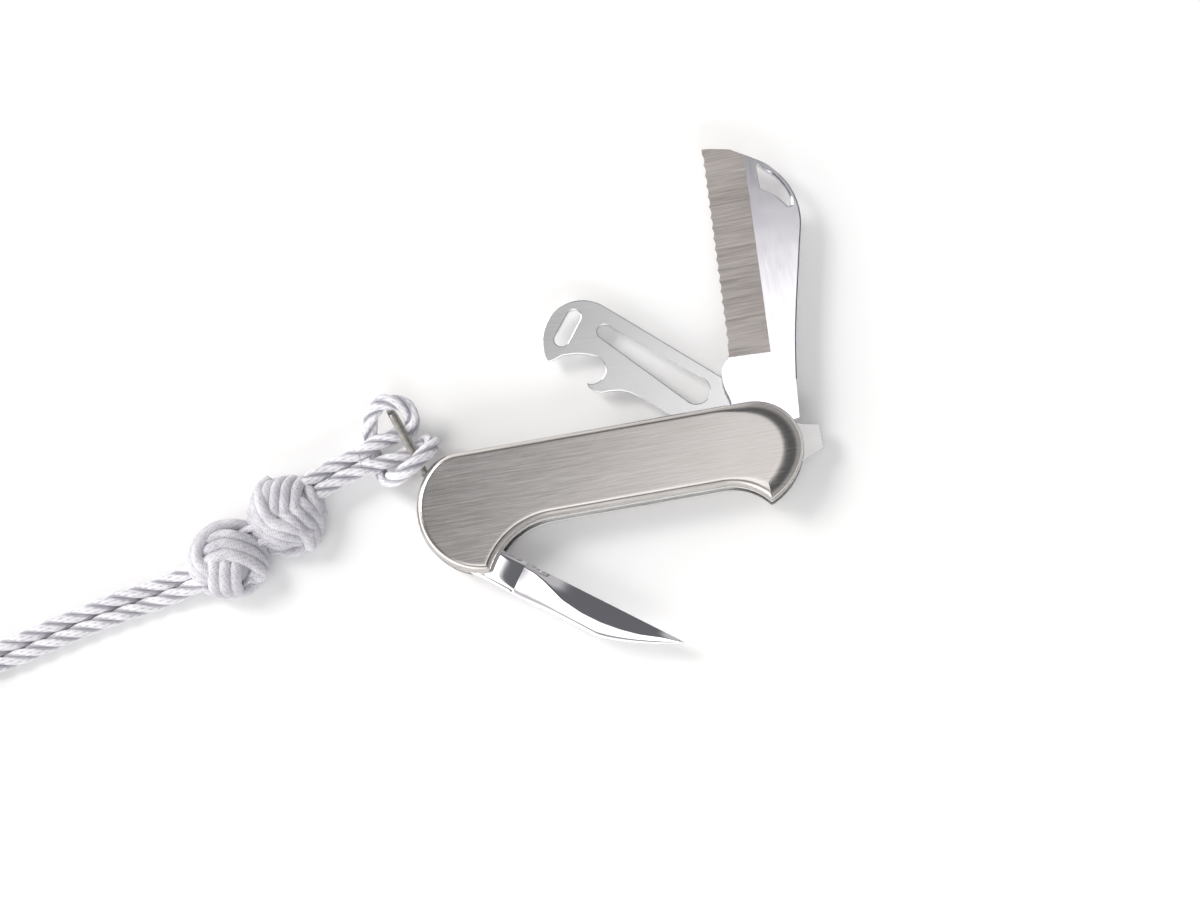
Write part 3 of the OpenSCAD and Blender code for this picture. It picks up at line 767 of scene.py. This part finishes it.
def blade_place(point):
    """A point in the blade's own frame, its cutting edge along Y."""
    return Matrix.Rotation(math.radians(-BLADE_TURN), 4, "Z") @ Vector(point)


def make_blade():
    """The blade, with a wide chamfer on its spine and its edge left crisp."""
    def on_spine(middle):
        own = blade_place(middle)
        return own.x > 10.2 and own.y > 4

    def on_edge(middle):
        own = blade_place(middle)
        return own.x < -6 and own.y > 20

    blade = machined("main_blade", "blade", "blade", "blade_steel", BLADE, 0.10, on_spine, 0.5, on_edge)
    blade.data.materials.append(BEVEL)
    for face in blade.data.polygons:
        own = blade_place(face.center / MM)
        tilted = 0.5 < abs(face.normal.z) < 0.9995
        if own.x < BEVEL_X + 0.3 and own.y > BEVEL_FROM and (tilted or own.x < -6):
            face.material_index = 1
    return blade


make_blade()

for node in ("front_scale_studs", "back_scale_studs", "spring_rivets", "blade_pivot_pin",
             "spike_pivot_pin", "bail_pin"):
    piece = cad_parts[node]
    piece.data.materials.clear()
    piece.data.materials.append(PIN)


# ---------------------------------------------------------------- marlin spike

SPIKE_PIVOT = np.array([-87.5, -14.5, 7.4])
SPIKE_TURN = -36.6
SPIKE_TOP = 3.3
SPIKE_LOW = -6.3
SPIKE_STEP = 18.2
SPIKE_END = 67.3
SPIKE_HALF = 2.9
HOLLOW_FROM = 9.5
SPIKE_CURVE = 44
TANG_R = 5.0
TANG_X = 5.3
TANG_HALF = 2.9
TANG_CHAMFER = 0.15

# Line between the flat top facet and the round lower side, along the spike
RIDGE_U = [0, 18.1, 21, 25.1, 31.7, 38.2, 44.1, 49.7, 55, 61.4, 67.3]
RIDGE_V = [2.4, 2.1, 2, 0.9, -1.5, -2.4, -2.4, -1.7, -0.5, 1.8, 3.1]


def spike_low(u):
    """Lower edge: straight, then curving up to the point."""
    if u < SPIKE_CURVE:
        return SPIKE_LOW
    rise = SPIKE_TOP - SPIKE_LOW - 0.3
    return SPIKE_LOW + rise * ((u - SPIKE_CURVE) / (SPIKE_END - SPIKE_CURVE)) ** 1.35


def spike_half(u):
    """Half thickness: a thick shank, a hollow before the step, then a long taper."""
    if u < HOLLOW_FROM:
        return SPIKE_HALF
    if u < SPIKE_STEP:
        t = (u - HOLLOW_FROM) / (SPIKE_STEP - HOLLOW_FROM)
        return SPIKE_HALF * (1 - 0.45 * t ** 1.5)
    t = (u - SPIKE_STEP) / (SPIKE_END - SPIKE_STEP)
    return SPIKE_HALF * (0.88 - 0.68 * t ** 1.4)


def spike_section(u):
    """One ring of the spike, from its top edge round the front to the lower edge and back."""
    h = spike_half(u)
    low = spike_low(u)
    lowest_ridge = low + 0.1 * (SPIKE_TOP - low)
    ridge = min(max(float(np.interp(u, RIDGE_U, RIDGE_V)), lowest_ridge), SPIKE_TOP - 0.05)
    band = ridge - low
    shank = u < SPIKE_STEP
    edge_h = 0.62 if shank else 0.30
    front = [(SPIKE_TOP, edge_h * h)]
    for t in (0.06, 0.5, 0.92):
        front.append((SPIKE_TOP + (ridge - SPIKE_TOP) * t, h * (edge_h + (1 - edge_h) * t)))
    front.append((ridge - 0.04 * band, h))
    for t in np.linspace(0.1, 1, 14):
        roll = 0.30 * t ** 16 if shank else 0.03 * t + 0.50 * t ** 4
        front.append((ridge - band * t, h * (1 - roll)))
    back = [(v, -w) for v, w in reversed(front)]
    return np.array([(u, v, w) for v, w in front + back])


def make_spike():
    """The spike's blade as a tube of sections, and its round tang as a chamfered plate."""
    stations = np.concatenate([
        np.linspace(TANG_R, SPIKE_STEP - 0.02, 28), [SPIKE_STEP + 0.06, SPIKE_STEP + 0.4],
        np.linspace(SPIKE_STEP + 1, 66, 60), [66.7, 67.1, 67.28]])
    rings = np.array([spike_section(u) for u in stations])
    made = Builder()
    made.skin(placed(rings, SPIKE_PIVOT, SPIKE_TURN)[:, ::-1], np.zeros(rings.shape))
    corners = [(TANG_R, SPIKE_LOW + 0.1), (TANG_X, SPIKE_LOW + 0.1), (TANG_X, SPIKE_TOP)]
    outline = np.array(arc(np.zeros(2), TANG_R, 41, 290, 40) + [np.array(p) for p in corners])
    layers = []
    for inset, z in ((TANG_CHAMFER, -TANG_HALF), (0.0, TANG_CHAMFER - TANG_HALF),
                     (0.0, TANG_HALF - TANG_CHAMFER), (TANG_CHAMFER, TANG_HALF)):
        inner = outline * (1 - inset / TANG_R)
        layers.append(np.column_stack([inner, np.full(len(inner), z)]))
    layers = np.array(layers)
    made.skin(placed(layers, SPIKE_PIVOT, SPIKE_TURN), np.zeros(layers.shape))
    spike = made.object("spike", SPIKE, sharp=56)
    return finish_piece(spike, "spike", "spike_steel", "marlin_spike")

make_spike()


# ---------------------------------------------------------------- bail

BAIL_PIVOT = np.array([-93.2, 0.7, 7.4])
BAIL_TURN = 109.6
BAIL_LEN = 27.5
WIRE_R = 0.95
LEG_IN = 1.9
LEG_OUT = 3.7
BOW_R = 2.5
WIRE_SQUARENESS = 3.2
WIRE_THICK = 0.98

# The wire's width near the eyes and at the bow, and the places between which it changes
WIRE_WIDE = (0.98, 1.18)
WIRE_WIDENS = (12, 15)

# Half of an eye's section: radius, and height from the middle of the eye
EYE_PROFILE = [(1.15, -0.85), (1.3, -1.0), (1.9, -1.0), (2.1, -0.8), (2.1, 0.8), (1.9, 1.0),
               (1.3, 1.0), (1.15, 0.85)]


def make_bail():
    """A stirrup of flattened wire with a drilled eye at each end."""
    half = [(0.4, LEG_IN), (3, LEG_IN), (6.6, LEG_IN), (7.8, LEG_IN + 0.25),
            (9.2, (LEG_IN + LEG_OUT) / 2), (10.6, LEG_OUT - 0.25), (11.8, LEG_OUT), (16, LEG_OUT),
            (20, LEG_OUT)]
    half += [(BAIL_LEN - BOW_R + BOW_R * math.sin(a), LEG_OUT - BOW_R + BOW_R * math.cos(a))
             for a in np.linspace(0, math.pi / 2, 7)]
    line = [(u, 0.0, -w) for u, w in half] + [(u, 0.0, w) for u, w in reversed(half[:-1])]
    route = smooth_route(line, 0.4)
    tangent = unit(np.gradient(route, axis=0))
    side = np.array([0.0, 1.0, 0.0])
    rings = []
    for point, outward in zip(route, np.cross(tangent, side)):
        width = np.interp(point[0], WIRE_WIDENS, WIRE_WIDE)
        ring = []
        for phi in np.linspace(0, 2 * math.pi, 28, endpoint=False):
            cx, cy = math.cos(phi), math.sin(phi)
            square = (abs(cx) ** WIRE_SQUARENESS + abs(cy) ** WIRE_SQUARENESS) ** (-1 / WIRE_SQUARENESS)
            ring.append(point + WIRE_R * square * (width * cx * side + WIRE_THICK * cy * outward))
        rings.append(ring)
    rings = np.array(rings)
    made = Builder()
    made.skin(placed(rings, BAIL_PIVOT, BAIL_TURN), np.zeros(rings.shape))
    for leg in (LEG_IN, -LEG_IN):
        turns = np.linspace(0, 2 * math.pi, 40, endpoint=False)
        eye = np.array([[(r * math.cos(a), r * math.sin(a), leg + z) for r, z in EYE_PROFILE]
                        for a in turns])
        eye = np.concatenate([eye, eye[:1]])
        made.skin(placed(eye, BAIL_PIVOT, BAIL_TURN)[:, ::-1], np.zeros(eye.shape), caps=False)
    bail = made.object("bail_wire", BAIL, sharp=40)
    return finish_piece(bail, "bail", "bail_steel", "bail")

make_bail()


# ---------------------------------------------------------------- floor and light

FLOOR_HALF = 3.0
FLOOR_AT = -0.00005


def make_floor():
    """A plain pale floor, a hair below the knife."""
    mesh = bpy.data.meshes.new("floor")
    corners = ((-1, -1), (1, -1), (1, 1), (-1, 1))
    mesh.from_pydata([(x * FLOOR_HALF, y * FLOOR_HALF, FLOOR_AT) for x, y in corners], [],
                     [(0, 1, 2, 3)])
    material, tree, main, node = shader("floor_pale")
    soft = noise(node, stretched(node, (3, 3, 3)), 1.0, 2.0, 0.5)
    colour = ramp(node, soft, [(0.3, (0.94, 0.94, 0.945)), (0.7, (0.97, 0.97, 0.97))])
    tree.links.new(colour, main.inputs["Base Color"])
    main.inputs["Roughness"].default_value = 0.9
    link("floor", mesh, [material])


# The overhead light, by the slope x / z or y / z of a direction. Each pair is a soft edge, from
# its dark side to its bright side. The left edge runs aslant, and folds back at LAMP_FOLD
LAMP_LEFT = (-0.06, 0.055)
LAMP_RIGHT = (0.17, 0.07)
LAMP_FRONT = (-0.75, -0.30)
LAMP_BACK = (0.325, 0.185)
LAMP_FOLD = 0.18
LAMP_SLANT = 0.9
LOWEST_Z = 0.05

# The pale wall low on the left, and the haze all round below the lamp, by parts of a direction
WALL_X = (0.35, -0.75)
WALL_Z = (0.75, 0.35)
HAZE_Z = (0.80, 0.62)

BASE_STRENGTH = 0.15
LAMP_STRENGTH = 1.75
WALL_STRENGTH = 2.0
HAZE_STRENGTH = 0.38


def make_world():
    """A soft studio: an overhead light with soft edges, a pale wall on the left and low haze."""
    world = bpy.data.worlds.new("studio")
    world.use_nodes = True
    tree = world.node_tree
    tree.nodes.clear()
    node = node_maker(tree)

    def put(socket, value):
        """Sets a socket to a number, or links another socket to it."""
        if isinstance(value, float):
            socket.default_value = value
        else:
            tree.links.new(value, socket)

    def math_node(operation, *values):
        """The result of a math node on sockets and numbers."""
        made = node("ShaderNodeMath", operation=operation)
        for socket, value in zip(made.inputs, values):
            put(socket, value)
        return made.outputs[0]

    def window(value, edges):
        """A soft step of a value, dark at the first edge and bright at the second."""
        return remap(node, value, edges, interpolation_type="SMOOTHSTEP")

    def background(colour, strength):
        """A background shader whose strength is a number or a socket."""
        made = node("ShaderNodeBackground")
        made.inputs["Color"].default_value = (*colour, 1)
        put(made.inputs["Strength"], strength)
        return made.outputs[0]

    place = node("ShaderNodeTexCoord")
    x, y, z = node("ShaderNodeSeparateXYZ", [(place.outputs["Generated"], "Vector")]).outputs
    high = math_node("MAXIMUM", z, LOWEST_Z)
    across_x = math_node("DIVIDE", x, high)
    across_y = math_node("DIVIDE", y, high)
    fold = math_node("ABSOLUTE", math_node("SUBTRACT", across_y, LAMP_FOLD))
    slid = math_node("MULTIPLY_ADD", fold, LAMP_SLANT, across_x)
    along = math_node("MULTIPLY", window(slid, LAMP_LEFT), window(across_x, LAMP_RIGHT))
    ends = math_node("MULTIPLY", window(across_y, LAMP_FRONT), window(across_y, LAMP_BACK))
    box = math_node("MULTIPLY", along, ends)
    haze = math_node("MULTIPLY", window(z, HAZE_Z), HAZE_STRENGTH)
    rim = math_node("MULTIPLY", window(x, WALL_X), window(z, WALL_Z))
    base = background((0.93, 0.95, 1.0), BASE_STRENGTH)
    lamp = background((1.0, 0.985, 0.97), math_node("MULTIPLY", box, LAMP_STRENGTH))
    wall = background((1.0, 0.98, 0.95), math_node("MULTIPLY_ADD", rim, WALL_STRENGTH, haze))
    both = node("ShaderNodeAddShader", [(base, 0), (lamp, 1)]).outputs[0]
    total = node("ShaderNodeAddShader", [(both, 0), (wall, 1)]).outputs[0]
    node("ShaderNodeOutputWorld", [(total, "Surface")])
    bpy.context.scene.world = world


LIGHTS_AIM = Vector((-0.06, 0.0, 0.0))

def area_light(name, at, size, power, colour, in_gloss=True):
    """A square light that looks at the middle of the knife. Without in_gloss metal doesn't show it."""
    data = bpy.data.lights.new(name, "AREA")
    data.shape = "SQUARE"
    data.size = size
    data.energy = power
    data.color = colour
    lamp = bpy.data.objects.new(name, data)
    lamp.location = at
    lamp.rotation_euler = (Vector(at) - LIGHTS_AIM).to_track_quat("Z", "Y").to_euler()
    lamp.visible_glossy = in_gloss
    bpy.context.scene.collection.objects.link(lamp)


make_floor()
make_world()
area_light("key", (-0.75, 0.55, 1.0), 0.5, 7.5, (1.0, 0.99, 0.97))
area_light("fill", (0.15, -1.25, 0.9), 0.6, 6.0, (0.97, 0.98, 1.0), False)
bpy.context.scene.view_settings.view_transform = "Standard"

bpy.context.view_layer.update()
